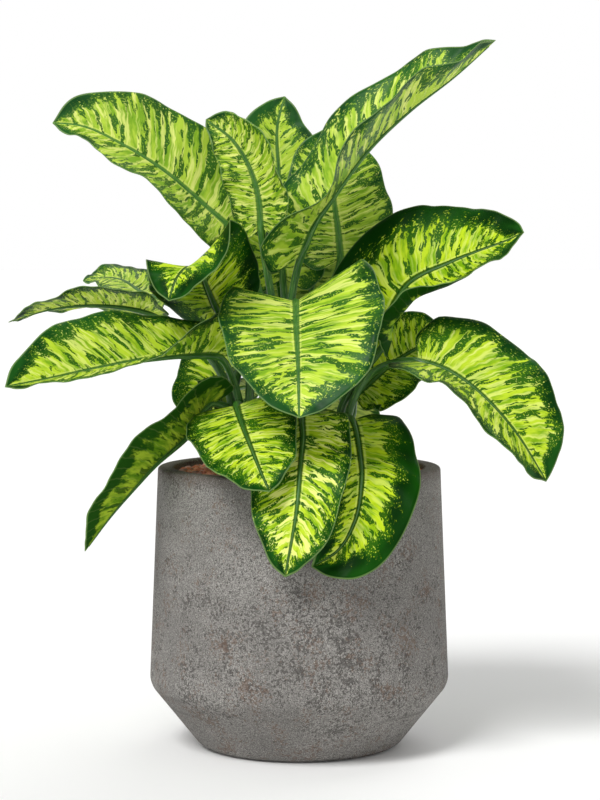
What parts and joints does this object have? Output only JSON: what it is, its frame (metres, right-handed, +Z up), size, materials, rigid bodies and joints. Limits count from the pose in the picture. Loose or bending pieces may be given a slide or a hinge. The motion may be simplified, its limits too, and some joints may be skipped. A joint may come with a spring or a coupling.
{
  "type": "potted dieffenbachia",
  "caption": "Dieffenbachia with broad yellow-green variegated leaves on short canes, set in clay granules in a round, rough grey planter that tapers in to its foot.",
  "frame": {"origin": "centre of the planter's flat foot, on the surface it stands on", "axes": "+Z up along the planter's axis; -Y towards the plant's front, where the broad leaf and the three low leaves hang over the rim; +X to the right seen from the front"},
  "size_m": [0.6125, 0.5, 0.7962],
  "materials": {
    "planter": "matte",
    "clay_granules": "matte",
    "cane": "satin",
    "leaf": "satin"
  },
  "bodies": {
    "root": {"planter": "planter", "clay_granules": "clay_granules", "cane_left": "cane", "cane_right": "cane", "cane_middle": "cane", "cane_back": "cane", "leaf_top_right": "leaf", "leaf_top_left": "leaf", "leaf_rolled": "leaf", "leaf_top_centre": "leaf", "leaf_centre_right": "leaf", "leaf_right": "leaf", "leaf_right_low": "leaf", "leaf_right_under": "leaf", "leaf_front": "leaf", "leaf_left_curled": "leaf", "leaf_left_back": "leaf", "leaf_left_narrow": "leaf", "leaf_left": "leaf", "leaf_left_drooping": "leaf", "leaf_left_under": "leaf", "leaf_front_left": "leaf", "leaf_front_low": "leaf", "leaf_front_right": "leaf", "leaf_back_low": "leaf", "leaf_back_left": "leaf", "leaf_back_right": "leaf", "leaf_back_upright": "leaf", "leaf_back_upper_left": "leaf", "leaf_back_right_low": "leaf", "leaf_back_left_low": "leaf"}
  },
  "joints": []
}
